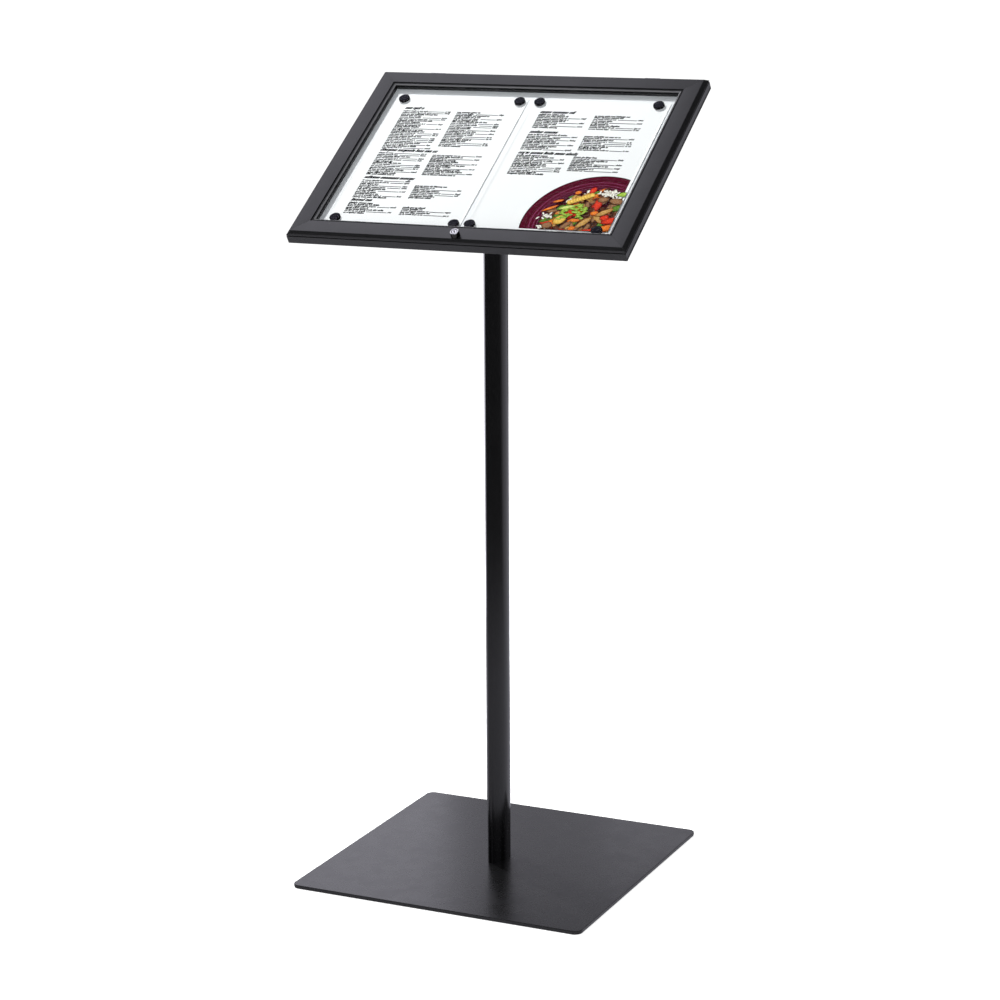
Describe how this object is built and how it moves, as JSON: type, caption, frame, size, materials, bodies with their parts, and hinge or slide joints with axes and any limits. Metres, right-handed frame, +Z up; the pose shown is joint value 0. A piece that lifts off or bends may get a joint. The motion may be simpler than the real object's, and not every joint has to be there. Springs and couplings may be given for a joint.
{
  "type": "lectern display case stand",
  "caption": "Floor-standing information lectern: a tilted, lockable, glazed display case for two A4 pages on an oval post and a square steel base.",
  "frame": {"origin": "on the floor under the middle of the square base, which is the axis of the post", "axes": "+Z up, +X along the case's width to the viewer's right, +Y from the viewer to the back; the case's face slopes down towards -Y"},
  "size_m": [0.514, 0.454, 1.1459],
  "materials": {
    "frame_black": "satin black, anodised",
    "adapter_black": "satin black powder coat",
    "post_black": "satin black powder coat",
    "base_black": "satin black powder coat",
    "black_rubber": "matt",
    "inner_steel": "zinc plated",
    "cast_aluminium": "as cast",
    "screw_black": "black oxide",
    "lock_chrome": "bright nickel",
    "panel_white": "white enamel",
    "acrylic": "clear",
    "paper": "uncoated",
    "magnet_black": "matt"
  },
  "bodies": {
    "stand": {"base_mat": "black_rubber", "base_plate": "base_black", "foot_screws": "inner_steel", "post_foot_insert": "cast_aluminium", "post_tube": "post_black", "tie_rod": "inner_steel", "tie_washer": "inner_steel", "tie_nut": "inner_steel", "head_adapter": "adapter_black", "head_screws": "screw_black", "head_nuts": "inner_steel", "stiffener_plate": "inner_steel", "case_rail_bottom": "frame_black", "case_rail_right": "frame_black", "case_rail_top": "frame_black", "case_rail_left": "frame_black", "case_corner_keys": "cast_aluminium", "rear_cover": "adapter_black", "rear_cover_screws": "screw_black", "display_panel": "panel_white", "dust_seal": "black_rubber", "page_left": "paper", "page_right": "paper", "magnets": "magnet_black", "hinge_case_leaves": "inner_steel", "hinge_case_rivets": "inner_steel", "hinge_pins": "inner_steel"},
    "door": {"door_rail_bottom": "frame_black", "door_rail_right": "frame_black", "door_rail_top": "frame_black", "door_rail_left": "frame_black", "door_corner_keys": "cast_aluminium", "glazing": "acrylic", "glazing_gasket": "black_rubber", "hinge_door_leaves": "inner_steel", "hinge_door_rivets": "inner_steel", "lock_housing": "lock_chrome", "lock_nut": "inner_steel"},
    "lock": {"lock_plug": "lock_chrome", "lock_cam": "inner_steel", "cam_screw": "inner_steel"}
  },
  "joints": [
    {"name": "door_hinge", "type": "hinge", "parent": "stand", "child": "door", "pos_m": [0, 0.1679, 1.14332], "axis": [-1, 0, 0], "range_deg": [0, 100]},
    {"name": "lock_turn", "type": "hinge", "parent": "door", "child": "lock", "pos_m": [0.004, -0.13801, 0.94793], "axis": [0, -0.5563, 0.831], "range_deg": [0, 90]}
  ]
}
